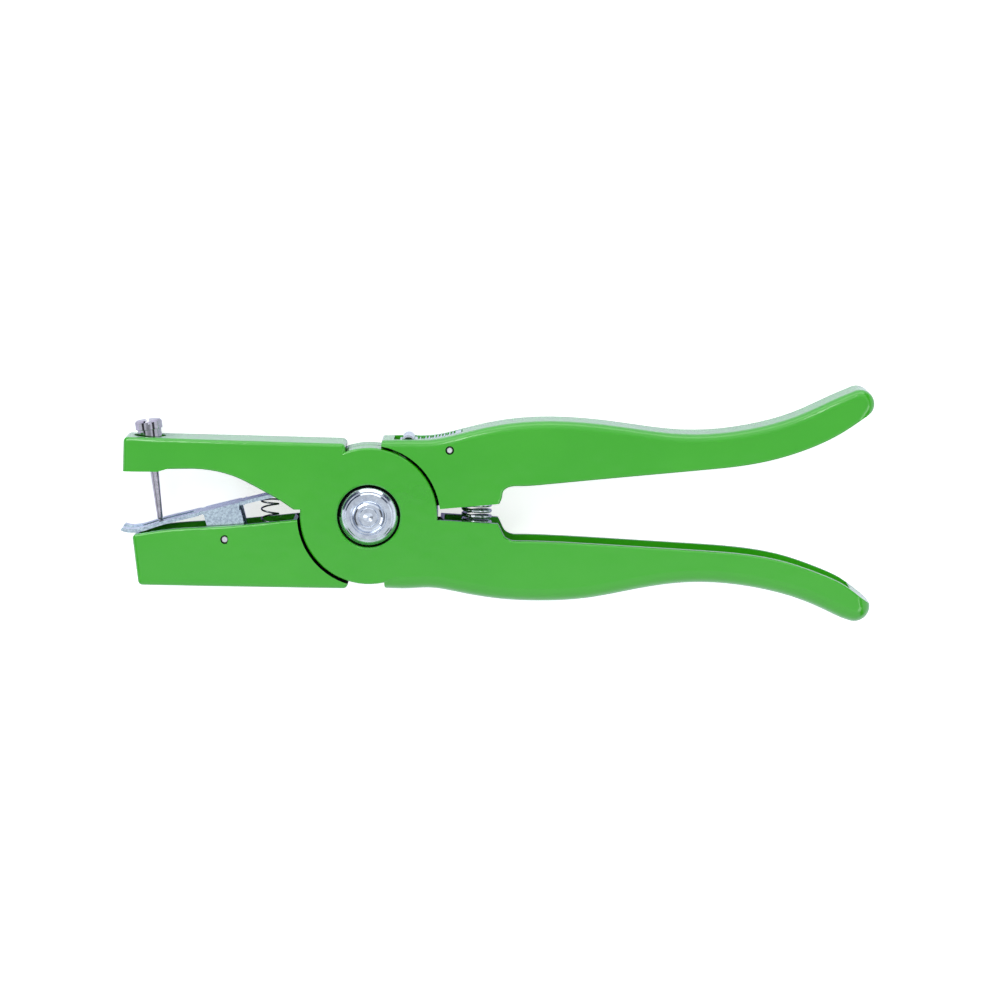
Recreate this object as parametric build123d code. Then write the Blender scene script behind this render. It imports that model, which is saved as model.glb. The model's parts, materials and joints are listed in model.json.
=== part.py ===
from build123d import *
import os
from math import atan2, copysign, cos, degrees, hypot, radians, sin, sqrt

# Ear tag applicator: hand pliers that push the needle of a two-piece livestock ear tag
# through the ear. Two die-cast limbs cross at a lap joint and turn on a stepped rivet.
# The first casting is the upper jaw, the near half of the disc and the lower handle.
# The second casting is the lower jaw, the far half of the disc and the upper handle.
# All four limbs are U channels: each jaw and each handle opens towards its partner.
# A sprung clip on the lower jaw holds the tag's female half, and the needle in the upper
# jaw carries the male half. A sprung lever in the upper handle's back keeps the tool shut.
#
# Lengths are in millimetres. While modelling, Z is the axis of the rivet with 0 in the
# plane of the lap joint, X runs from the jaws to the handles, and Y points from the
# lower limb to the upper limb. The tool lies on its side, and the last lines put the
# origin at the middle of its underside.

# Lap joint discs
disc_radius = 23.0
disc_gap = 0.93
end_wall = 1.3
lap_gap = 0.16

# Disc radius for which the outlines below are drawn
drawn_radius = 23.0


def at(x, y):
    # A place on a limb, which follows the disc: X moves with its edge and Y grows with it
    return (x + copysign(disc_radius - drawn_radius, x), at_y(y))


def at_x(x):
    # A place along X that moves with the disc's edge
    return x + copysign(disc_radius - drawn_radius, x)


def at_y(y):
    # A height that grows with the disc
    return y * disc_radius / drawn_radius


def along(*points):
    # Places along an outline
    return [at(x, y) for x, y in points]


# Castings across the cheeks
cheek_half = 9.25
upper_tip_half = 7.35
lower_tip_half = 8.2
taper_root_x = at_x(-26.0)

# Channel walls
side_wall = 2.4
jaw_side_wall = 2.0
handle_web = 3.0
jaw_web = 2.6
front_wall = 2.2
jaw_cavity_x = at_x(-18.0)
lower_cavity_x = at_x(-17.0)
tip_cavity_depth = 24.0

# Rounding of the outer edges
jaw_edge_radius = 1.4
upper_edge_radius = 2.6
lower_edge_radius = 4.6
inner_edge_radius = 0.8
disc_edge_radius = 0.8
lap_edge_radius = 0.4
block_corner_radius = 1.0

# Upper jaw outline: flat back, underside that sweeps up to the solid tip
jaw_tip_x = at_x(-82.6)
jaw_tip_rake = 0.9
jaw_corner_radius = 1.6
jaw_block_x = at_x(-7.6)
upper_back_tip_y = at_y(26.5)
upper_back_root_y = at_y(24.35)
upper_tip_foot = at(-70.4, 14.9)
tip_block_x = at_x(-65.5)
jaw_heel = at(-25.2, 2.3)
upper_underside = along((-29.7, 5.4), (-36.3, 9.1), (-43.0, 12.6), (-49.7, 14.8), (-56.0, 15.75),
                        (-67.5, 15.75))

# Lower jaw outline
lower_front_top = at(-79.2, -6.2)
lower_front_foot = at(-77.3, -23.4)
lower_block_foot = at(-7.1, -24.5)
lower_rim = along((-77.5, -6.1), (-68.3, -4.7), (-49.7, -3.5), (-22.0, -1.0))
lower_corner_centre = at(-77.4, -7.7)

# Upper handle outline: the back from block to tip, the grip side from tip to block
upper_block = at(4.4, 25.4)
upper_back = along((13.0, 25.5), (21.0, 25.6), (30.3, 27.5), (43.7, 30.5), (63.7, 31.75), (83.7, 29.95),
                   (105.3, 27.4), (123.7, 28.55), (143.7, 33.85), (157.0, 39.9))
upper_tip = at(163.7, 37.5)
upper_tip_radius = at_y(4.8)
upper_tip_angles = (113.0, -35.0)
upper_grip = along((163.2, 31.55), (157.0, 27.5), (143.7, 21.5), (130.3, 17.85), (110.3, 15.35),
                   (83.7, 12.95), (60.0, 10.7))
upper_step = along((50.5, 10.1), (46.8, 9.7), (45.0, 8.4), (44.5, 6.2))
upper_stop = along((43.7, 4.2), (23.0, 2.4))

# Lower handle outline
lower_block = at(5.2, -24.8)
lower_back = along((12.0, -25.0), (20.3, -24.7), (30.3, -26.3), (43.7, -28.45), (57.0, -29.1), (73.7, -28.1),
                   (90.3, -25.0), (107.0, -22.9), (123.7, -23.75), (140.3, -27.3), (152.0, -31.85),
                   (156.6, -34.1))
lower_tip = at(162.8, -30.9)
lower_tip_radius = at_y(5.2)
lower_tip_angles = (-108.0, 10.0)
lower_grip = along((163.6, -26.6), (159.0, -23.3), (152.0, -20.0), (138.5, -15.35), (125.0, -12.9),
                   (107.0, -11.45), (80.0, -9.75), (56.5, -8.5))
lower_step = along((50.5, -8.4), (47.3, -8.1), (45.3, -6.8), (44.2, -4.6))
lower_stop = along((43.2, -2.55), (22.0, -1.2))

# Pivot rivet and its washers
rivet_radius = 5.0
running_clearance = 0.05
recess_radius = 10.6
recess_depth = 2.6
recess_lip = 0.5
washer_gap = 0.8
washer_radius = recess_radius - washer_gap
washer_bevel = 1.4
washer_face = 1.8
head_radius = washer_radius - washer_face
head_height = 1.0
boss_ledge = 3.0
boss_radius = head_radius - boss_ledge
boss_height = 2.0
head_round = 0.4
head_rim_width = 1.8
head_groove_width = 0.7
head_groove_floor = 0.5
boss_round = 0.8
dimple_ring = boss_radius - head_rim_width
dimple_radius = dimple_ring / 2
tail_radius = head_radius - 0.5
tail_height = 1.0
tail_sink = 0.4

# Needle and its lock screw, leaning in the upper jaw
needle_lean = 6.2
needle_foot_x = at_x(-72.2)
needle_radius = 1.4
needle_tip_radius = 0.95
needle_point_radius = 0.6
needle_reach = 18.5
needle_point = 1.9
collar_radius = 3.2
collar_height = 1.6
needle_shelf = 4.2
screw_radius = 3.6
screw_head_radius = 4.55
screw_head_height = 3.2
screw_rise = 5.3
screw_slot_width = 1.2
screw_slot_depth = 1.2
screw_slot_turn = 11.0
screw_body_radius = 4.0
counterbore_radius = 5.3
counterbore_depth = 1.4

# Sheet clip on the lower jaw
sheet = 1.2
clip_half = 6.4
clip_slope_foot = at(-67.7, -1.65)
clip_tail = at(-31.0, 7.25)
clip_front = at(-79.2, -4.65)
clip_lip_x = at_x(-82.4)
clip_lip_lift = 0.9
tine_slot_half = 1.9
tine_slot_end_x = at_x(-60.0)
tine_neck_x = at_x(-76.2)
tine_mouth_half = 3.1
ear_front_x = at_x(-55.4)
ear_back_x = at_x(-43.4)
ear_notch = 1.5
clip_pin = at(-48.1, -7.8)
clip_pin_radius = 1.15
ear_below_pin = 3.0
tail_half = 4.4
tail_neck_x = at_x(-41.5)

# Coil springs
clip_coil_radius = 3.15
clip_wire = 0.6
clip_spring_x = at_x(-33.4)
clip_spring_turns = 9
clip_seat_height = 2.2
clip_stud_radius = 2.4
handle_coil_radius = 5.15
handle_wire = 1.3
handle_spring_x = at_x(36.0)
handle_spring_turns = 10
spring_seat = 6.2
spring_boss_radius = 6.0
spring_stud_radius = 3.4
spring_stud_height = 4.0
seat_clearance = 0.02

# Lock lever in the upper handle's back
lever_pin = at(27.1, 22.2)
lever_pin_radius = 1.1
lever_half = 4.0
lever_front_x = at_x(10.5)
lever_heel_x = at_x(30.9)
pocket_front_x = at_x(8.5)
lever_thickness = 2.2
lever_gap = 0.3
nose_thickness = 2.6
nose_half = 3.6
serration_pitch = 1.0
serration_depth = 0.35
serration_start_x = at_x(16.6)
roll_centre = at(13.3, 24.7)
roll_radius = 2.2
roll_half = 5.6
roll_dish_radius = 1.6
roll_dish_depth = 2.4
lock_notch_width = 3.2
lock_notch_depth = 1.2
lever_hub_radius = 2.4
lug_gap_half = 1.9
cradle_wall = 1.0
nose_middle_x = at_x(11.6)
pin_dish_depth = 0.35
pin_sink = 0.15
lock_coil_radius = 1.45
lock_wire = 0.5
lock_spring_turns = 5.35
lock_turn_gap = 0.08
lock_leg_inset = 0.8
lock_leg_gap = 0.1
lock_knuckle = 0.08
lock_leg_taper = 0.01
lock_leg_angle = 34.0

arc_radius = disc_radius + disc_gap
cavity_radius = arc_radius + end_wall
far_out = 120.0
limb_margin = 60.0


def outline(*lines):
    # Flat face inside a closed chain of lines
    return make_face([edge for line in lines for edge in line.edges()])


def slab(face, low, high):
    # A flat outline given thickness between two heights
    return extrude(Pos(0, 0, low) * face, amount=high - low, dir=(0, 0, 1))


def disc(radius, low, high, x=0.0, y=0.0):
    # Round solid about a line parallel to the rivet
    return Pos(x, y, (low + high) / 2) * Cylinder(radius, high - low)


def bar(x_low, x_high, y_low, y_high, z_low, z_high):
    # Rectangular solid between two corners
    centre = Pos((x_low + x_high) / 2, (y_low + y_high) / 2, (z_low + z_high) / 2)
    return centre * Box(x_high - x_low, y_high - y_low, z_high - z_low)


def turned(profile):
    # Solid turned about Z from a chain of (radius, height) points
    face = make_face(Polyline(*[(radius, 0, height) for radius, height in profile], close=True).edges())
    return revolve(face, axis=Axis.Z)


def inset(points, depth):
    # Points moved to the left of the way they run, by a wall thickness
    moved = []
    for index, (x, y) in enumerate(points):
        before = points[max(index - 1, 0)]
        after = points[min(index + 1, len(points) - 1)]
        run = hypot(after[0] - before[0], after[1] - before[1])
        moved.append((x - depth * (after[1] - before[1]) / run, y + depth * (after[0] - before[0]) / run))
    return moved


def tip_arc(centre, radius, angles):
    # Rounded handle end, as an arc through its middle
    start, end = angles
    turn = [radians(start), radians((start + end) / 2), radians(end)]
    return ThreePointArc(*[(centre[0] + radius * cos(a), centre[1] + radius * sin(a)) for a in turn])


def jaw_plan(tip_half, wall=0.0):
    # Seen along Y: full width back to the handles, tapering in a long arc to the jaw's tip
    half = cheek_half - wall
    arc = TangentArc((taper_root_x, 0, half), (jaw_tip_x - 2, 0, tip_half - wall), tangent=(-1, 0, 0))
    tip = arc @ 1
    lower = mirror(arc, about=Plane.XY)
    sides = Polyline((taper_root_x, 0, half), (far_out * 2, 0, half), (far_out * 2, 0, -half),
                     (taper_root_x, 0, -half))
    end = Line((tip.X, 0, tip.Z), (tip.X, 0, -tip.Z))
    return extrude(make_face([*arc.edges(), *lower.edges(), *sides.edges(), *end.edges()]),
                   amount=far_out, dir=(0, 1, 0), both=True)


def rims_over(solid, *curves):
    # Edges of a slab that run over some lines of its outline
    found = []
    for edge in solid.edges():
        place = edge @ 0.5
        level = Vertex(place.X, place.Y, 0)
        if abs(edge.tangent_at(0.5).Z) < 0.5 and any(curve.distance_to(level) < 0.01 for curve in curves):
            found.append(edge)
    return found


def make_upper_jaw():
    # Upper jaw as a solid limb: back and tip rounded on one slab, the underside on the other
    plan = jaw_plan(upper_tip_half)
    back = FilletPolyline((jaw_block_x, -upper_back_tip_y), (jaw_block_x, upper_back_root_y),
                          (jaw_tip_x + jaw_tip_rake, upper_back_tip_y),
                          (jaw_tip_x - jaw_tip_rake, -upper_back_tip_y), radius=jaw_corner_radius)
    back_face = outline(back, Line(back @ 1, back @ 0))
    back_body = slab(back_face, -cheek_half, cheek_half) & plan
    back_body = fillet(rims_over(back_body, back), jaw_edge_radius)
    under = Spline(jaw_heel, *upper_underside, tangents=(heading(jaw_heel, upper_underside[0]), (-1, 0)))
    toe = Polyline(upper_underside[-1], upper_tip_foot, (jaw_tip_x - limb_margin, upper_tip_foot[1]))
    top = Polyline(toe @ 1, (jaw_tip_x - limb_margin, limb_margin), (0, limb_margin), (0, jaw_heel[1]),
                   jaw_heel)
    under_body = slab(outline(under, toe, top), -cheek_half, cheek_half) & plan
    under_body = fillet(rims_over(under_body, under), inner_edge_radius)
    return back_body & under_body


def make_lower_jaw():
    # Lower jaw as a solid limb: front and foot rounded on one slab, the rim on the other
    plan = jaw_plan(lower_tip_half)
    over_front = (2 * lower_front_top[0] - lower_front_foot[0], 2 * lower_front_top[1] - lower_front_foot[1])
    keel = FilletPolyline(over_front, lower_front_foot, lower_block_foot,
                          (lower_block_foot[0], over_front[1]), radius=jaw_corner_radius)
    keel_face = outline(keel, Line(keel @ 1, keel @ 0))
    keel_body = slab(keel_face, -cheek_half, cheek_half) & plan
    keel_body = fillet(rims_over(keel_body, keel), jaw_edge_radius)
    rim = Spline(*lower_rim, tangents=(heading(*lower_rim[:2]), heading(*lower_rim[-2:])))
    lead = Line(rim @ 0 - Vector(*heading(*lower_rim[:2])).normalized() * limb_margin, rim @ 0)
    below = Polyline(rim @ 1, (0, lower_rim[-1][1]), (0, -limb_margin),
                     (jaw_tip_x - limb_margin, -limb_margin), lead @ 0)
    rim_body = slab(outline(lead, rim, below), -cheek_half, cheek_half) & plan
    rim_body = fillet(rims_over(rim_body, lead, rim), inner_edge_radius)
    x, y = lower_corner_centre
    corner = bar(jaw_tip_x - limb_margin, x, y, limb_margin, -cheek_half, cheek_half)
    corner -= disc(jaw_corner_radius, -cheek_half, cheek_half, x, y)
    return (keel_body & rim_body) - corner


def heading(start, end):
    # Direction from one point of an outline to another
    return (end[0] - start[0], end[1] - start[1])


def make_handle(block, back, tip, tip_radius, tip_angles, grip, step, stop, edge_radius):
    # Handle as a solid limb: one slab is rounded along the back and round the tip, the
    # other along the grip side, and the limb is what they share
    end = tip_arc(tip, tip_radius, tip_angles)
    spine = Spline(block, *back, end @ 0, tangents=(heading(block, back[0]), end % 0))
    side = 1 if block[1] > 0 else -1
    past_tip = end @ 1 + (end % 1) * limb_margin
    back_face = outline(spine, end, Polyline(end @ 1, past_tip, (0, -side * limb_margin), block))
    back_body = slab(back_face, -cheek_half, cheek_half)
    back_body = fillet(rims_over(back_body, spine, end), edge_radius)
    corner = back_face.vertices().sort_by_distance(block)[0]
    back_body &= slab(fillet(corner, block_corner_radius), -cheek_half, cheek_half)
    tip_point = tuple(end @ 1)
    out = heading(grip[0], tip_point)
    lead = Line(end @ 1 + Vector(*out).normalized() * limb_margin, end @ 1)
    hand = Spline(end @ 1, *grip, *step, tangents=(heading(tip_point, grip[0]), heading(step[-2], step[-1])))
    shoulder = Spline(step[-1], stop[0], tangents=(hand % 1, heading(step[-1], stop[0])))
    grip_face = outline(lead, hand, shoulder, Line(*stop),
                        Polyline(stop[-1], (0, 0), (0, side * 2 * limb_margin), lead @ 0))
    grip_body = slab(grip_face, -cheek_half, cheek_half)
    grip_body = fillet(rims_over(grip_body, lead, hand, shoulder), inner_edge_radius)
    return back_body & grip_body


def height_on(line, x):
    # Height of a straight outline at a place along X
    (x_one, y_one), (x_two, y_two) = line
    return y_one + (y_two - y_one) * (x - x_one) / (x_two - x_one)


def make_casting(jaw, handle, side):
    # One casting: both limbs, cleared on one side of the lap for the partner's disc, and the
    # half disc on the other side with its recess. Side is 1 for the disc towards the viewer.
    limbs = jaw + handle
    clearance = disc(arc_radius, -cheek_half - 1, lap_gap / 2)
    hub = disc(disc_radius, lap_gap / 2, cheek_half)
    hub = fillet(hub.edges().group_by(Axis.Z)[-1], disc_edge_radius)
    hub = fillet(hub.edges().group_by(Axis.Z)[0], lap_edge_radius)
    recess = disc(recess_radius, cheek_half - recess_depth, cheek_half + 1)
    lip = turned([(recess_radius - 0.1, cheek_half - recess_lip),
                  (recess_radius + recess_lip, cheek_half + 0.01), (recess_radius - 0.1, cheek_half + 0.01)])
    turn = Rot(0, 0, 0) if side > 0 else Rot(180, 0, 0)
    casting = limbs - turn * clearance + turn * hub
    return casting - turn * recess - turn * lip


def handle_cavity(back, end_depth, side):
    # Space inside a handle: follows its back one web away and is open on the grip side
    inner = inset(back, -side * handle_web)
    along = Vector(*heading(inner[-2], inner[-1])).normalized()
    across = Vector(side * along.Y, -side * along.X)
    end = Vector(*inner[-1]) + across * end_depth
    line = Spline(*inner)
    face = outline(line, Polyline(line @ 1, end, (end.X - end_depth, -side * end_depth * 2),
                                  (inner[0][0], -side * end_depth * 2), line @ 0))
    half = cheek_half - side_wall
    return slab(face, -half, half) - disc(cavity_radius, -cheek_half, cheek_half)


def spring_post(limb, seat_y, side):
    # Boss that carries one end of the handle spring, with a stud inside the coil
    seat = Pos(handle_spring_x, seat_y, 0) * Rot(90, 0, 0)
    post = Pos(0, side * limb_margin / 2, 0) * seat * Cylinder(spring_boss_radius, limb_margin)
    stud = seat * Cylinder(spring_stud_radius, 2 * spring_stud_height)
    return (post & limb) + stud


def pin_dish(place, radius, half):
    # Dished mouths of a cross hole, one at each cheek
    cone = turned([(0, half - pin_dish_depth), (radius, half - pin_dish_depth),
                   (radius + pin_dish_depth, half + 0.01), (0, half + 0.01)])
    return Pos(*place, 0) * (cone + Rot(180, 0, 0) * cone)


def plan_half(tip_half, x):
    # Half width of a jaw at a place along X, on its long arc
    reach = taper_root_x - (jaw_tip_x - 2)
    drop = cheek_half - tip_half
    radius = (reach ** 2 + drop ** 2) / (2 * drop)
    return cheek_half - radius + sqrt(radius ** 2 - min(0.0, x - taper_root_x) ** 2)


def leaning(shape):
    # Puts a shape made about Z on the needle's leaning axis, Z = 0 at the jaw's underside
    lean = radians(needle_lean)
    foot = (needle_foot_x, upper_tip_foot[1], 0)
    return Plane(origin=foot, x_dir=(0, 0, 1), z_dir=(-sin(lean), cos(lean), 0)).location * shape


def coil(radius, wire, turns, length):
    # Coil spring standing on Z = 0, ends resting flat within the stated length
    path = Helix(pitch=(length - wire) / turns, height=length - wire, radius=radius)
    section = Plane(origin=path @ 0, z_dir=path % 0) * Circle(wire / 2)
    return Pos(0, 0, wire / 2) * sweep(section, path=path, is_frenet=True)


# The two castings before their small features
upper_jaw = make_upper_jaw()
lower_jaw = make_lower_jaw()
upper_handle = make_handle(upper_block, upper_back, upper_tip, upper_tip_radius, upper_tip_angles,
                           upper_grip, upper_step, upper_stop, upper_edge_radius)
lower_handle = make_handle(lower_block, lower_back, lower_tip, lower_tip_radius, lower_tip_angles,
                           lower_grip, lower_step, lower_stop, lower_edge_radius)

# Places worked out from the outlines
upper_seat_y = height_on(upper_stop, handle_spring_x) + spring_seat
lower_seat_y = height_on(lower_stop, handle_spring_x) - spring_seat
jaw_back_slope = (upper_back_root_y - upper_back_tip_y) / (jaw_block_x - jaw_tip_x)
jaw_back_y = upper_back_tip_y + jaw_back_slope * (needle_foot_x - 1 - jaw_tip_x)
screw_seat_z = (jaw_back_y - upper_tip_foot[1]) / cos(radians(needle_lean)) - counterbore_depth
lower_floor_y = lower_block_foot[1] + jaw_web
clip_line = (clip_slope_foot, clip_tail)
clip_tilt = atan2(clip_tail[1] - clip_slope_foot[1], clip_tail[0] - clip_slope_foot[0])
clip_under = sheet / cos(clip_tilt)


def make_first_casting():
    # Upper jaw, near disc and lower handle
    casting = make_casting(upper_jaw, lower_handle, 1)
    casting -= disc(rivet_radius + seat_clearance, -cheek_half, cheek_half)
    top = [(x, upper_back_tip_y - jaw_web + jaw_back_slope * (x - jaw_tip_x))
           for x in (tip_block_x, jaw_cavity_x)]
    space = outline(Polyline(*top, (jaw_cavity_x, -far_out / 10), (tip_block_x, -far_out / 10), close=True))
    space = slab(space, -cheek_half, cheek_half) & jaw_plan(upper_tip_half, jaw_side_wall)
    casting -= space - disc(cavity_radius, -cheek_half, cheek_half)
    casting -= handle_cavity(lower_back[1:], tip_cavity_depth, -1)
    casting += spring_post(lower_handle, lower_seat_y, -1)
    bore = disc(needle_radius + running_clearance, -1, needle_shelf)
    bore += disc(screw_radius + running_clearance, needle_shelf, screw_seat_z + 0.1)
    bore += disc(counterbore_radius, screw_seat_z, screw_seat_z + 4 * counterbore_depth)
    casting -= leaning(bore)
    nose_angle = degrees(atan2(sqrt(disc_radius ** 2 - nose_middle_x ** 2), nose_middle_x))
    notch = bar(disc_radius - lock_notch_depth, arc_radius, -lock_notch_width / 2, lock_notch_width / 2,
                lap_gap / 2 - 0.1, nose_half + lever_gap)
    return casting - Rot(0, 0, nose_angle) * notch


def lever_heel_radius():
    # Reach of the lever's heel from its pin, so that heel and slot end share one arc
    back_y = height_on(upper_back[2:4], lever_heel_x)
    return hypot(lever_heel_x - lever_pin[0], back_y - lever_pin[1])


def make_second_casting():
    # Lower jaw, far disc and upper handle
    casting = make_casting(lower_jaw, upper_handle, -1)
    casting -= disc(rivet_radius + running_clearance, -cheek_half, cheek_half)
    front_x = lower_front_top[0] + front_wall
    space = bar(front_x, lower_cavity_x, lower_floor_y, cheek_half, -cheek_half, cheek_half)
    space = space & jaw_plan(lower_tip_half, jaw_side_wall)
    casting -= space - disc(cavity_radius, -cheek_half, cheek_half)
    casting -= handle_cavity(upper_back, tip_cavity_depth, 1)
    casting += spring_post(upper_handle, upper_seat_y, 1)
    stud = Pos(clip_spring_x, lower_floor_y, 0) * Rot(90, 0, 0)
    casting += stud * Cylinder(clip_stud_radius, 2 * clip_seat_height) & lower_jaw
    for place, radius, half in ((clip_pin, clip_pin_radius, plan_half(lower_tip_half, clip_pin[0])),
                                (lever_pin, lever_pin_radius, cheek_half)):
        casting -= disc(radius + seat_clearance, -far_out, far_out, *place) + pin_dish(place, radius, half)
    pocket_end_x = roll_centre[0] + roll_radius + lever_gap
    pocket = bar(pocket_front_x, pocket_end_x, 0, far_out / 2,
                 -roll_half - lever_gap, roll_half + lever_gap)
    slot = bar(lever_front_x, lever_pin[0], 0, far_out / 2, -lever_half - lever_gap, lever_half + lever_gap)
    heel = disc(lever_heel_radius() + lever_gap, -lever_half - lever_gap, lever_half + lever_gap, *lever_pin)
    slot += heel & bar(lever_pin[0] - 1, far_out, lever_pin[1], far_out, -cheek_half, cheek_half)
    slot_floor = lever_pin[1] - lever_hub_radius - lever_gap
    slot -= bar(cavity_radius, far_out, 0, slot_floor, -cheek_half, cheek_half)
    return casting - (pocket + slot - disc(arc_radius, -cheek_half, cheek_half))


def make_rivet():
    # Stepped head towards the viewer, shank through both discs, formed head sunk at the back
    face = cheek_half
    groove_out = head_radius - head_rim_width
    groove_in = groove_out - head_groove_width
    back = -(cheek_half - tail_sink)
    neck = back + tail_height
    profile = [(0, back), (tail_radius, back), (tail_radius, neck), (rivet_radius, neck),
               (rivet_radius, face), (head_radius, face), (head_radius, face + head_height - head_round),
               (head_radius - head_round, face + head_height), (groove_out, face + head_height),
               (groove_out - 0.2, face + head_groove_floor), (groove_in, face + head_groove_floor),
               (boss_radius, face + head_height), (boss_radius, face + boss_height - boss_round),
               (boss_radius - 0.3 * boss_round, face + boss_height - 0.3 * boss_round),
               (boss_radius - boss_round, face + boss_height), (dimple_ring + 0.2, face + boss_height),
               (dimple_ring, face + boss_height - 0.25), (dimple_ring - 0.25, face + boss_height - 0.1),
               (dimple_radius, face + boss_height - 0.1), (0, face + boss_height - 0.6)]
    return turned(profile)


def make_washer(face, thickness, bevel, side):
    # Ring in a recess of a cheek, its outer top edge bevelled
    bore = rivet_radius + running_clearance
    profile = [(bore, 0), (washer_radius, 0), (washer_radius, thickness - bevel * 0.8),
               (washer_radius - bevel, thickness), (bore, thickness)]
    ring = Pos(0, 0, face) * turned(profile)
    return ring if side > 0 else Rot(180, 0, 0) * ring


def make_needle():
    # Collar, shank and tapered stem that ends in a narrower rounded point
    stem_end = needle_point - needle_reach
    profile = [(0, needle_shelf + collar_height), (collar_radius, needle_shelf + collar_height),
               (collar_radius, needle_shelf), (needle_radius, needle_shelf), (needle_radius, 0),
               (needle_tip_radius, stem_end), (needle_point_radius, stem_end - 0.35),
               (needle_point_radius, -needle_reach + 0.35), (needle_point_radius - 0.3, -needle_reach),
               (0, -needle_reach)]
    return leaning(turned(profile))


def make_lock_screw():
    # Threaded shank, waisted body and slotted drum head
    foot = needle_shelf + collar_height + seat_clearance
    neck = screw_seat_z + seat_clearance
    top = screw_seat_z + counterbore_depth + screw_rise
    head = top - screw_head_height
    chamfer = 0.6
    profile = [(0, foot), (screw_radius, foot), (screw_radius, neck), (screw_body_radius, neck),
               (screw_body_radius, head), (screw_head_radius, head + 0.2), (screw_head_radius, top - chamfer),
               (screw_head_radius - chamfer, top), (0, top)]
    slot = bar(-far_out, far_out, -screw_slot_width / 2, screw_slot_width / 2,
               top - screw_slot_depth, top + 1)
    return leaning(turned(profile) - Rot(0, 0, screw_slot_turn) * slot)


def make_clip():
    # Sheet clip: forked front with upturned lips, two ears bent down to the pin, narrow tail
    lip = (clip_lip_x, clip_front[1] + clip_lip_lift - (clip_front[0] - clip_lip_x) * 0.1)
    top = [clip_tail, clip_slope_foot]
    straight = Line(*top)
    curve = Spline(clip_slope_foot, clip_front, lip, tangents=(heading(*top), (-1, 0.75)))
    low_straight = Line(*[(x, y - clip_under) for x, y in top])
    low_curve = Spline((clip_slope_foot[0], clip_slope_foot[1] - clip_under),
                       (clip_front[0], clip_front[1] - clip_under),
                       (lip[0] - 0.7 * sheet, lip[1] - 0.75 * sheet), tangents=(heading(*top), (-1, 0.75)))
    ends = (Line(straight @ 0, low_straight @ 0), Line(curve @ 1, low_curve @ 1))
    strip = slab(outline(straight, curve, low_straight, low_curve, *ends), -clip_half, clip_half)
    tail = height_on(clip_line, ear_back_x)
    ear_top = [(x, height_on(clip_line, x) - 0.4 * sheet) for x in (ear_front_x, ear_back_x)]
    lean = (clip_pin[1] - tail) * sin(clip_tilt) * -1
    low = clip_pin[1] - ear_below_pin
    ear_face = outline(Polyline(*ear_top, (ear_back_x + lean, clip_pin[1]),
                                (clip_pin[0] + ear_below_pin, low), (clip_pin[0] - ear_below_pin, low),
                                (ear_front_x + lean * 0.7, clip_pin[1] + 1), close=True))
    ear_face = fillet(ear_face.vertices().group_by(Axis.Y)[0], ear_below_pin / 2)
    clip = strip
    for side in (-1, 1):
        flange = slab(ear_face, min(side * clip_half, side * (clip_half - sheet)),
                      max(side * clip_half, side * (clip_half - sheet)))
        clip += flange
        for x in (ear_front_x - ear_notch, ear_back_x):
            clip -= bar(x, x + ear_notch, height_on(clip_line, x) - 2 * sheet, far_out / 10,
                        min(side * far_out, side * (clip_half - 1.6 * sheet)),
                        max(side * far_out, side * (clip_half - 1.6 * sheet)))
        clip -= bar(tail_neck_x, 0, -far_out / 10, far_out, min(side * tail_half, side * far_out),
                    max(side * tail_half, side * far_out))
    half_mouth = [(clip_lip_x - 2 * sheet, tine_mouth_half), (clip_lip_x, tine_mouth_half),
                  (tine_neck_x, tine_slot_half), (tine_slot_end_x, tine_slot_half)]
    mouth = Polyline(*[(x, 0, z) for x, z in half_mouth], *[(x, 0, -z) for x, z in reversed(half_mouth)],
                     close=True)
    fork = extrude(make_face(mouth.edges()), amount=far_out / 10, dir=(0, 1, 0), both=True)
    fork += Pos(tine_slot_end_x, 0, 0) * Rot(90, 0, 0) * Cylinder(tine_slot_half, far_out / 5)
    return clip - fork - disc(clip_pin_radius + running_clearance, -far_out, far_out, *clip_pin)


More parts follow.
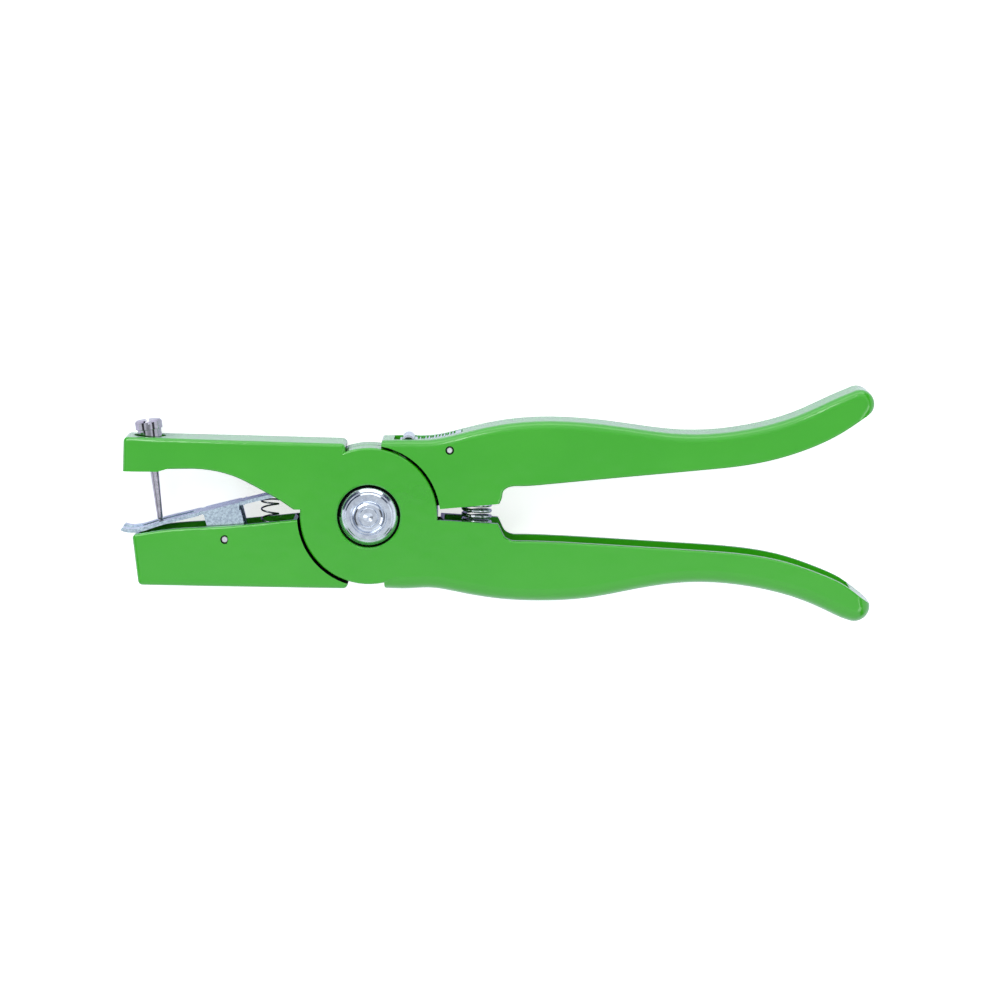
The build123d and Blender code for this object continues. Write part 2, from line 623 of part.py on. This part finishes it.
def make_lever():
    # Lever let into the back: a serrated band with two lugs on the pin, a cradle for the
    # thumb roll and a nose over the near disc
    line = Spline(*upper_back)
    under = Spline(*inset(upper_back, -lever_thickness))
    band = outline(line, under, Line(line @ 0, under @ 0), Line(line @ 1, under @ 1))
    lever = slab(band, -lever_half, lever_half)
    heel = disc(lever_heel_radius(), -lever_half, lever_half, *lever_pin)
    lever &= bar(roll_centre[0], lever_pin[0], 0, far_out, -far_out, far_out) + heel
    cradle = disc(roll_radius + cradle_wall, -lever_half, lever_half, *roll_centre)
    cradle &= bar(lever_front_x, far_out, 0, upper_back[0][1] - 0.3, -far_out, far_out)
    lever += cradle
    lug = disc(lever_hub_radius, -lever_half, lever_half, *lever_pin)
    lug += bar(lever_pin[0] - lever_hub_radius, lever_pin[0] + lever_hub_radius, lever_pin[1],
               lever_pin[1] + lever_hub_radius + 0.6, -lever_half, lever_half)
    lug -= bar(lever_pin[0] - 4, lever_pin[0] + 4, 0, lever_pin[1] + lock_coil_radius + lock_wire,
               -lug_gap_half, lug_gap_half)
    lever += lug
    nose = bar(lever_front_x, nose_middle_x + nose_thickness / 2, 0, roll_centre[1],
               lap_gap / 2 + lever_gap, nose_half)
    lever += nose - disc(disc_radius + lever_gap, -cheek_half, cheek_half)
    lever -= disc(roll_radius + seat_clearance, -far_out, far_out, *roll_centre)
    groove = Rot(0, 0, 45) * Box(serration_depth * 1.6, serration_depth * 1.6, 3 * lever_half)
    count = int((lever_heel_x - 1 - serration_start_x) / serration_pitch)
    grooves = []
    for index in range(count):
        x = serration_start_x + index * serration_pitch
        surface = min((line @ (step / 400) for step in range(401)), key=lambda point: abs(point.X - x))
        grooves.append(Pos(surface.X, surface.Y, 0) * groove)
    lever -= grooves
    return lever - disc(lever_pin_radius + running_clearance, -far_out, far_out, *lever_pin)


def make_lock_spring():
    # Torsion spring round the lever's pin: one leg under the lever's heel, one on the end wall
    height = lock_spring_turns * (lock_wire + lock_turn_gap)
    path = Helix(pitch=height / lock_spring_turns, height=height, radius=lock_coil_radius)
    section = Plane(origin=path @ 0, z_dir=path % 0) * Circle(lock_wire / 2)
    winding = Pos(*lever_pin, -height / 2) * sweep(section, path=path, is_frenet=True)
    start = Vector(lever_pin[0] + lock_coil_radius, lever_pin[1], -height / 2)
    turned_by = radians(360 * (lock_spring_turns % 1))
    end = Vector(lever_pin[0] + lock_coil_radius * cos(turned_by),
                 lever_pin[1] + lock_coil_radius * sin(turned_by), height / 2)
    heel_x = lever_heel_x - lock_leg_inset
    heel_y = height_on(upper_back[1:3], heel_x) - lever_thickness - lock_wire / 2 - lock_leg_gap
    heel = Vector(heel_x, heel_y - seat_clearance, -height / 2)
    wall_angle = radians(lock_leg_angle)
    rest = Vector((cavity_radius + lock_wire / 2 + seat_clearance) * cos(wall_angle),
                  (cavity_radius + lock_wire / 2 + seat_clearance) * sin(wall_angle), height / 2)
    spring = winding
    for here, there in ((start, heel), (end, rest)):
        leg = Plane(origin=here, z_dir=there - here) * Circle(lock_wire / 2 - lock_leg_taper)
        spring += Pos(*here) * Sphere(lock_wire / 2 + lock_knuckle)
        spring += extrude(leg, amount=(there - here).length)
    return spring


def make_roll():
    # Thumb roll with a round recess in each end
    roll = disc(roll_radius, -roll_half, roll_half)
    for side in (-1, 1):
        inner = side * (roll_half - roll_dish_depth)
        roll -= disc(roll_dish_radius, min(inner, side * cheek_half), max(inner, side * cheek_half))
    return Pos(*roll_centre, 0) * roll


def make_cross_pin(place, radius, half):
    # Headless pin through both cheeks, ends a little sunk and slightly domed
    profile = [(0, -half + pin_sink), (radius - 0.25, -half + pin_sink), (radius, -half + pin_sink + 0.25),
               (radius, half - pin_sink - 0.25), (radius - 0.25, half - pin_sink), (0, half - pin_sink)]
    return Pos(*place, 0) * turned(profile)


def make_clip_spring():
    # Thin spring between the floor of the lower jaw and the clip's tail
    top = height_on(clip_line, clip_spring_x) - clip_under
    length = top - sin(clip_tilt) * clip_coil_radius - lower_floor_y
    spring = coil(clip_coil_radius - clip_wire / 2, clip_wire, clip_spring_turns, length)
    return Pos(clip_spring_x, lower_floor_y, 0) * Rot(-90, 0, 0) * spring


def make_handle_spring():
    # Stout spring between the two posts
    length = upper_seat_y - lower_seat_y
    spring = coil(handle_coil_radius - handle_wire / 2, handle_wire, handle_spring_turns, length)
    return Pos(handle_spring_x, lower_seat_y, 0) * Rot(-90, 0, 0) * spring


recess_floor = cheek_half - recess_depth
clip_pin_half = plan_half(lower_tip_half, clip_pin[0])
nodes = {
    "upper_jaw_lower_handle": make_first_casting(),
    "lower_jaw_upper_handle": make_second_casting(),
    "pivot_rivet": make_rivet(),
    "pivot_washer_front": make_washer(recess_floor, recess_depth, washer_bevel, 1),
    "pivot_washer_rear": make_washer(recess_floor, recess_depth - tail_height - tail_sink, 0.4, -1),
    "needle": make_needle(),
    "needle_lock_screw": make_lock_screw(),
    "clip_plate": make_clip(),
    "clip_pivot_pin": make_cross_pin(clip_pin, clip_pin_radius, clip_pin_half),
    "clip_spring": make_clip_spring(),
    "handle_spring": make_handle_spring(),
    "lock_lever": make_lever(),
    "lock_thumb_roll": make_roll(),
    "lock_lever_pin": make_cross_pin(lever_pin, lever_pin_radius, cheek_half),
    "lock_spring": make_lock_spring(),
}

# The origin goes to the middle of the underside
boxes = [shape.bounding_box(optimal=True) for shape in nodes.values()]
middle_x = (min(box.min.X for box in boxes) + max(box.max.X for box in boxes)) / 2
middle_y = (min(box.min.Y for box in boxes) + max(box.max.Y for box in boxes)) / 2
to_origin = Pos(-middle_x, -middle_y, cheek_half)
os.makedirs("parts", exist_ok=True)
for name, shape in nodes.items():
    export_step(to_origin * shape, f"parts/{name}.step")
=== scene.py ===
import json
from math import cos, pi, radians, sin

import bpy
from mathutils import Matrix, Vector


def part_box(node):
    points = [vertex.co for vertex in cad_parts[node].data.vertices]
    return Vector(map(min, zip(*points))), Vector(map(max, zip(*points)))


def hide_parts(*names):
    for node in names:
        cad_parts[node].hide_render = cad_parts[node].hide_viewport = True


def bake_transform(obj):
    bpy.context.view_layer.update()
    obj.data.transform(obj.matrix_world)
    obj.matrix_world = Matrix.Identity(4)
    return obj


# Ear tag applicator on a white table, seen from above at the photograph's angle.
# Lengths are in metres and places come from the CAD nodes' boxes.

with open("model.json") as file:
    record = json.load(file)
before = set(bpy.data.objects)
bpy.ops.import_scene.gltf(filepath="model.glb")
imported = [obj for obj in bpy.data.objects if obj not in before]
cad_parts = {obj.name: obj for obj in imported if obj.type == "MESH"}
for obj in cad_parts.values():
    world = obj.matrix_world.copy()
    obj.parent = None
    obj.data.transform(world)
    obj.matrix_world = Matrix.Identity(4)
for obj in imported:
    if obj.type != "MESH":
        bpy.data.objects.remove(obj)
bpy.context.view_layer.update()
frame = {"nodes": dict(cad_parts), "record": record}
nodes = frame["nodes"]
castings = ("upper_jaw_lower_handle", "lower_jaw_upper_handle")

# Camera: the near cheeks fill the same share of the picture as in the photograph
camera_distance = 1.206
camera_tilt = radians(7.8)
field_width = 0.330
sensor_width = 36.0
aim_right = -0.00045
aim_up = 0.00415
far_clip = 20.0

# Edges that turn more than this stay sharp
casting_crease = radians(28)
wire_crease = radians(50)

# Plated metals: tint, roughness and speckle height, then cloud scale and contrast where they differ
metals = {
    "zinc_plate": ((0.76, 0.81, 0.93), 0.14, 0.000004),
    "clip_zinc": ((0.64, 0.76, 0.94), 0.22, 0.00001, 1100.0, 1.7),
    "turned_steel": ((0.52, 0.49, 0.56), 0.20, 0.000003),
    "dark_chrome": ((0.46, 0.44, 0.50), 0.06, 0.000001),
    "bright_steel": ((0.92, 0.90, 0.95), 0.30, 0.000002),
    "spring_wire": ((0.20, 0.21, 0.24), 0.25, 0.000003),
    "bright_wire": ((0.62, 0.65, 0.70), 0.10, 0.000001),
}

# Finish of a record slot or of a node, where it has another name than the node's slot
slot_finish = {"bare_steel": "turned_steel"}
node_finish = {
    "needle_lock_screw": "dark_chrome",
    "lock_lever_pin": "bright_steel",
    "clip_pivot_pin": "bright_steel",
    "clip_plate": "clip_zinc",
}

# Where painted shade darkens the castings' narrow gaps: distances from the pivot, from the lap's plane
# and from a pin
disc_gap_ring = (0.0233, 0.0243)
recess_gap = 0.0011
recess_rim = 0.0003
lap_reach = 0.0003
pin_mouth = 0.0015
wall_slope = 0.3

# Springs: wire thickness and turns, with the end turns closed
spring_sides = 14
steps_per_turn = 40
closed_turns = 1.0
closed_rise = 0.25
handle_wire = 0.0013
handle_turns = 10.0
clip_wire = 0.0006
clip_turns = 9.0

# Table: what the camera and the gloss see of it is a little brighter than the lamps make it
table_half = 3.0
table_drop = 0.0002
table_glow = {"Is Camera Ray": (0.70, 0.70, 0.70), "Is Glossy Ray": (0.15, 0.11, 0.27)}

# Softboxes: place, size and power in watts
lamps = {
    "key_softbox": ((-0.7, 0.9, 1.3), (0.9, 0.6), 9.0),
    "fill_softbox": ((0.9, -0.5, 1.2), (0.6, 0.6), 2.0),
    "rim_strip": ((0.0, 1.3, 0.34), (2.0, 0.6), 4.5),
}

# Black cards round the tool: azimuth in degrees and width
card_distance = 0.9
card_height = 0.40
cards = {"flag_left": (145, 1.0), "flag_right": (45, 0.42)}

# Grey levels of the room along its width and depth, from 0 at the low end to 1 at the high end
room_tint = (0.90, 0.95, 1.0, 1.0)
ceiling_depth = [(0.39, 0.95), (0.4225, 0.85), (0.436, 0.5), (0.62, 0.5), (0.75, 0.95)]
ceiling_width = [(0.30, 1.0), (0.40, 0.45), (0.60, 0.45), (0.70, 1.0)]
dark_bands = [(0.08, 1.0), (0.11, 0.08), (0.20, 0.08), (0.24, 1.0),
              (0.76, 1.0), (0.80, 0.08), (0.89, 0.08), (0.92, 1.0)]


class Shader:
    """A small helper that adds and links nodes of one material."""

    def __init__(self, name):
        self.material = bpy.data.materials.new(name)
        self.material.use_nodes = True
        self.tree = self.material.node_tree
        self.tree.nodes.clear()
        self.output = self.add("ShaderNodeOutputMaterial")
        self.surface = self.add("ShaderNodeBsdfPrincipled")
        self.link(self.surface, "BSDF", self.output, "Surface")
        self.place = self.add("ShaderNodeTexCoord")

    def add(self, kind):
        return self.tree.nodes.new(kind)

    def link(self, source, output, target, socket):
        self.tree.links.new(source.outputs[output], target.inputs[socket])

    def noise(self, scale, detail=2.0, roughness=0.5, stretch=None):
        node = self.add("ShaderNodeTexNoise")
        node.inputs["Scale"].default_value = scale
        node.inputs["Detail"].default_value = detail
        node.inputs["Roughness"].default_value = roughness
        if stretch:
            mapping = self.add("ShaderNodeMapping")
            mapping.inputs["Scale"].default_value = stretch
            self.link(self.place, "Object", mapping, "Vector")
            self.link(mapping, "Vector", node, "Vector")
        else:
            self.link(self.place, "Object", node, "Vector")
        return node

    def colour_ramp(self, source, low, high):
        # Base colour that runs between two stops of a noise's value
        node = self.add("ShaderNodeValToRGB")
        self.link(source, "Fac", node, "Fac")
        for element, (position, colour) in zip(node.color_ramp.elements, (low, high)):
            element.position = position
            element.color = (*colour, 1.0)
        self.link(node, "Color", self.surface, "Base Color")

    def roughness_range(self, source, low, high):
        # Roughness that follows a noise's value
        node = self.add("ShaderNodeMapRange")
        node.inputs["To Min"].default_value = low
        node.inputs["To Max"].default_value = high
        self.link(source, "Fac", node, "Value")
        self.link(node, "Result", self.surface, "Roughness")

    def bump(self, source, height, before=None):
        node = self.add("ShaderNodeBump")
        node.inputs["Strength"].default_value = 1.0
        node.inputs["Distance"].default_value = height
        self.link(source, "Fac", node, "Height")
        if before:
            self.link(before, "Normal", node, "Normal")
        return node

    def set(self, **values):
        for name, value in values.items():
            self.surface.inputs[name.replace("_", " ")].default_value = value


def green_paint():
    # Gloss enamel over a die casting: orange peel below, slow waviness in both layers
    paint = Shader("green_paint")
    shade = paint.noise(28.0, 3.0)
    paint.colour_ramp(shade, (0.3, (0.032, 0.425, 0.003)), (0.7, (0.040, 0.455, 0.005)))
    peel = paint.noise(900.0, 1.0)
    wave = paint.noise(140.0, 2.0)
    both = paint.bump(wave, 0.00006, before=paint.bump(peel, 0.000012))
    paint.link(both, "Normal", paint.surface, "Normal")
    gloss = paint.bump(wave, 0.00005)
    paint.link(gloss, "Normal", paint.surface, "Coat Normal")
    paint.roughness_range(shade, 0.24, 0.34)
    paint.set(IOR=1.5, Coat_Weight=1.0, Coat_Roughness=0.05)
    return paint.material


def plated_steel(name, tint, rough, speckle, cloud_scale=420.0, contrast=1.0):
    # Plate with cloudy brightness, fine crystal speckle and light scratches
    metal = Shader(name)
    cloud = metal.noise(cloud_scale, 4.0, 0.65)
    light = tuple(min(1.0, part * (1 + 0.12 * contrast)) for part in tint)
    dark = tuple(part * (1 - 0.20 * contrast) for part in tint)
    metal.colour_ramp(cloud, (0.32, dark), (0.62, light))
    grain = metal.noise(1800.0, 2.0)
    scratch = metal.noise(300.0, 3.0, 0.6, (1.0, 9.0, 1.0))
    metal.roughness_range(scratch, rough * 0.7, rough * 1.5)
    metal.link(metal.bump(grain, speckle), "Normal", metal.surface, "Normal")
    metal.set(Metallic=1.0)
    return metal.material


def painted_gap_shade():
    # Painted shade: a near-black colour put in the narrow gaps round the disc, the washers and the
    # pins, where shadow falls
    gap_shade_paint = Shader("painted_gap_shade")
    shade_mottle = gap_shade_paint.noise(500.0, 3.0)
    gap_shade_paint.colour_ramp(shade_mottle, (0.35, (0.002, 0.005, 0.003)), (0.7, (0.004, 0.014, 0.005)))
    gap_shade_paint.set(Roughness=0.8, Specular_IOR_Level=0.1)
    return gap_shade_paint.material


def middle(node):
    # Middle of a CAD node's box at rest
    low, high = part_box(node)
    return (low + high) / 2


def from_axis(point, centre):
    # Distance of a place from an axis along Z
    return (Vector((point.x, point.y)) - Vector((centre.x, centre.y))).length


def paint_gap_shade_faces(casting):
    # Second material, painted shade, on the faces inside the disc gap, the washer recesses and the pin
    # mouths. In a recess the painted shade lies on the floor and on the wall's upper half.
    mesh = casting.data
    mesh.materials.append(gap_shade_material)
    hub = middle("pivot_rivet")
    lap_height = middle("upper_jaw_lower_handle").z
    cheek_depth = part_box("upper_jaw_lower_handle")[1].z - lap_height - recess_rim
    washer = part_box("pivot_washer_front")
    recess = (washer[1].x - washer[0].x) / 2 + recess_gap
    pins = [middle(name) for name in ("lock_lever_pin", "clip_pivot_pin")]
    for face in mesh.polygons:
        centre = casting.matrix_world @ face.center
        from_hub = from_axis(centre, hub)
        from_lap = abs(centre.z - lap_height)
        wall = abs(face.normal.z) < wall_slope
        in_gap = wall and disc_gap_ring[0] < from_hub < disc_gap_ring[1]
        on_lap = not wall and from_lap < lap_reach and from_hub < disc_gap_ring[1]
        at_pin = any(from_axis(centre, place) < pin_mouth for place in pins)
        in_recess = from_hub < recess and from_lap < cheek_depth and (not wall or centre.y > hub.y)
        if in_gap or on_lap or at_pin or in_recess:
            face.material_index = 1


def add_mesh(name, points, faces):
    mesh = bpy.data.meshes.new(name)
    mesh.from_pydata(points, [], faces)
    piece = bpy.data.objects.new(name, mesh)
    bpy.context.scene.collection.objects.link(piece)
    return piece


def coil_path(radius, wire, length, turns):
    # Middle line of a compression spring along +Y from 0, end turns closed and lying flat
    heights = []
    height = 0.0
    for step in range(int(turns * steps_per_turn) + 1):
        turn = step / steps_per_turn
        from_end = min(turn, turns - turn)
        share = min(1.0, max(0.0, (from_end - closed_turns / 2) / (closed_turns / 2)))
        heights.append(height)
        height += closed_rise + share
    path = []
    for step, level in enumerate(heights):
        angle = 2 * pi * step / steps_per_turn
        along = wire / 2 + (length - wire) * level / heights[-1]
        path.append(Vector((radius * cos(angle), along, radius * sin(angle))))
    return path


def add_tube(name, path, radius):
    # Round wire along a list of points, with flat ends
    points, faces = [], []
    last = len(path) - 1
    side = Vector((0, 1, 0))
    for index, centre in enumerate(path):
        ahead = (path[min(index + 1, last)] - path[max(index - 1, 0)]).normalized()
        side = (side - ahead * side.dot(ahead)).normalized()
        across = ahead.cross(side)
        for corner in range(spring_sides):
            angle = 2 * pi * corner / spring_sides
            points.append(centre + radius * (cos(angle) * side + sin(angle) * across))
    for index in range(last):
        for corner in range(spring_sides):
            here = index * spring_sides + corner
            beside = index * spring_sides + (corner + 1) % spring_sides
            faces.append((here, beside, beside + spring_sides, here + spring_sides))
    faces.append(tuple(reversed(range(spring_sides))))
    faces.append(tuple(last * spring_sides + corner for corner in range(spring_sides)))
    piece = add_mesh(name, points, faces)
    piece.data.shade_smooth()
    piece.data.set_sharp_from_angle(angle=wire_crease)
    return piece


def add_coil_spring(name, node, turns, wire, finish):
    # Spring in the place of its CAD node, stretched between the bodies at its two ends
    low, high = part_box(node)
    centre = middle(node)
    radius = (high.z - low.z - wire) / 2
    piece = add_tube(name, coil_path(radius, wire, high.y - low.y, turns), wire / 2)
    piece.location = (centre.x, low.y, centre.z)
    piece.data.materials.append(finish)
    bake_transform(piece)
    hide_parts(node)


def add_floor():
    # White table that keeps a faint shadow
    corners = [(-1, -1), (1, -1), (1, 1), (-1, 1)]
    floor = add_mesh("floor", [(x * table_half, y * table_half, 0) for x, y in corners], [(0, 1, 2, 3)])
    floor.location.z = -table_drop
    table = Shader("white_table")
    table.set(Base_Color=(0.86, 0.86, 0.86, 1.0), Roughness=0.9)
    rays = table.add("ShaderNodeLightPath")
    so_far, socket = table.surface, "BSDF"
    for ray, colour in table_glow.items():
        glow = table.add("ShaderNodeEmission")
        glow.inputs["Color"].default_value = (*colour, 1.0)
        table.link(rays, ray, glow, "Strength")
        total = table.add("ShaderNodeAddShader")
        table.link(so_far, socket, total, 0)
        table.link(glow, "Emission", total, 1)
        so_far, socket = total, "Shader"
    table.link(so_far, socket, table.output, "Surface")
    floor.data.materials.append(table.material)


def add_lamp(name, place, size, watts):
    # Softbox aimed at the middle of the tool
    light = bpy.data.lights.new(name, "AREA")
    light.shape = "RECTANGLE"
    light.size, light.size_y = size
    light.energy = watts
    lamp = bpy.data.objects.new(name, light)
    lamp.location = place
    lamp.rotation_euler = (-Vector(place)).to_track_quat("-Z", "Y").to_euler()
    bpy.context.scene.collection.objects.link(lamp)


def add_card(name, azimuth, width):
    # Black card that no camera sees: it shows only as a dark patch in the plated pieces
    turn = radians(azimuth)
    across = Vector((-sin(turn), cos(turn), 0)) * width / 2
    foot = Vector((cos(turn), sin(turn), 0)) * card_distance
    rise = Vector((0, 0, card_height))
    corners = [foot - across, foot + across, foot + across + rise, foot - across + rise]
    card = add_mesh(name, corners, [(0, 1, 2, 3)])
    cloth = Shader(name)
    cloth.set(Base_Color=(0.03, 0.04, 0.09, 1.0), Roughness=1.0)
    card.data.materials.append(cloth.material)
    card.visible_camera = False


def room_ramp(tree, parts, axis, stops):
    # Grey levels along one axis of the room
    share = tree.nodes.new("ShaderNodeMapRange")
    share.inputs["From Min"].default_value = -1.0
    tree.links.new(parts.outputs[axis], share.inputs["Value"])
    node = tree.nodes.new("ShaderNodeValToRGB")
    tree.links.new(share.outputs["Result"], node.inputs["Fac"])
    elements = node.color_ramp.elements
    while len(elements) < len(stops):
        elements.new(0.5)
    for element, (position, level) in zip(elements, stops):
        element.position = position
        element.color = (level, level, level, 1.0)
    return node.outputs["Color"]


def combine(tree, operation, first, second):
    node = tree.nodes.new("ShaderNodeMath")
    node.operation = operation
    tree.links.new(first, node.inputs[0])
    tree.links.new(second, node.inputs[1])
    return node.outputs["Value"]


def add_world():
    # Soft room: white walls, a calmer ceiling over the camera, and a dark band on each side.
    # The camera itself sees a plain pale background.
    world = bpy.data.worlds.new("studio")
    bpy.context.scene.world = world
    world.use_nodes = True
    tree = world.node_tree
    place = tree.nodes.new("ShaderNodeTexCoord")
    parts = tree.nodes.new("ShaderNodeSeparateXYZ")
    tree.links.new(place.outputs["Generated"], parts.inputs["Vector"])
    depth = room_ramp(tree, parts, "Y", ceiling_depth)
    width = room_ramp(tree, parts, "X", ceiling_width)
    bands = room_ramp(tree, parts, "X", dark_bands)
    room = combine(tree, "MULTIPLY", combine(tree, "MAXIMUM", depth, width), bands)
    rays = tree.nodes.new("ShaderNodeLightPath")
    level = combine(tree, "MAXIMUM", room, rays.outputs["Is Camera Ray"])
    background = tree.nodes["Background"]
    tree.links.new(level, background.inputs["Strength"])
    background.inputs["Color"].default_value = room_tint


def add_camera():
    cheek_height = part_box("upper_jaw_lower_handle")[1].z
    target = Vector((aim_right, aim_up, cheek_height))
    data = bpy.data.cameras.new("camera")
    data.sensor_width = sensor_width
    data.lens = sensor_width * camera_distance / field_width
    data.clip_end = far_clip
    camera = bpy.data.objects.new("camera", data)
    camera.location = target + camera_distance * Vector((0, sin(camera_tilt), cos(camera_tilt)))
    camera.rotation_euler = (-camera_tilt, 0, 0)
    bpy.context.scene.collection.objects.link(camera)
    bpy.context.scene.camera = camera


finishes = {"green_paint": green_paint()}
for name, values in metals.items():
    finishes[name] = plated_steel(name, *values)
# Painted shade for the castings' narrow gaps, recesses and pin mouths
gap_shade_material = painted_gap_shade()

for entry in frame["record"]["subparts"]:
    mesh = nodes[entry["node"]].data
    slot = entry["material_slot"]
    finish = node_finish.get(entry["node"], slot_finish.get(slot, slot))
    mesh.materials.clear()
    mesh.materials.append(finishes[finish])
    mesh.shade_smooth()
    mesh.set_sharp_from_angle(angle=casting_crease)

# Painted shade goes on the castings' faces in the disc gap, the recesses and round the pins
for name in castings:
    paint_gap_shade_faces(nodes[name])

add_coil_spring("return_spring", "handle_spring", handle_turns, handle_wire,
                finishes["bright_wire"])
add_coil_spring("clip_tail_spring", "clip_spring", clip_turns, clip_wire,
                finishes["spring_wire"])

add_floor()
add_world()
for name, values in lamps.items():
    add_lamp(name, *values)
for name, values in cards.items():
    add_card(name, *values)
add_camera()
bpy.context.scene.view_settings.view_transform = "Standard"
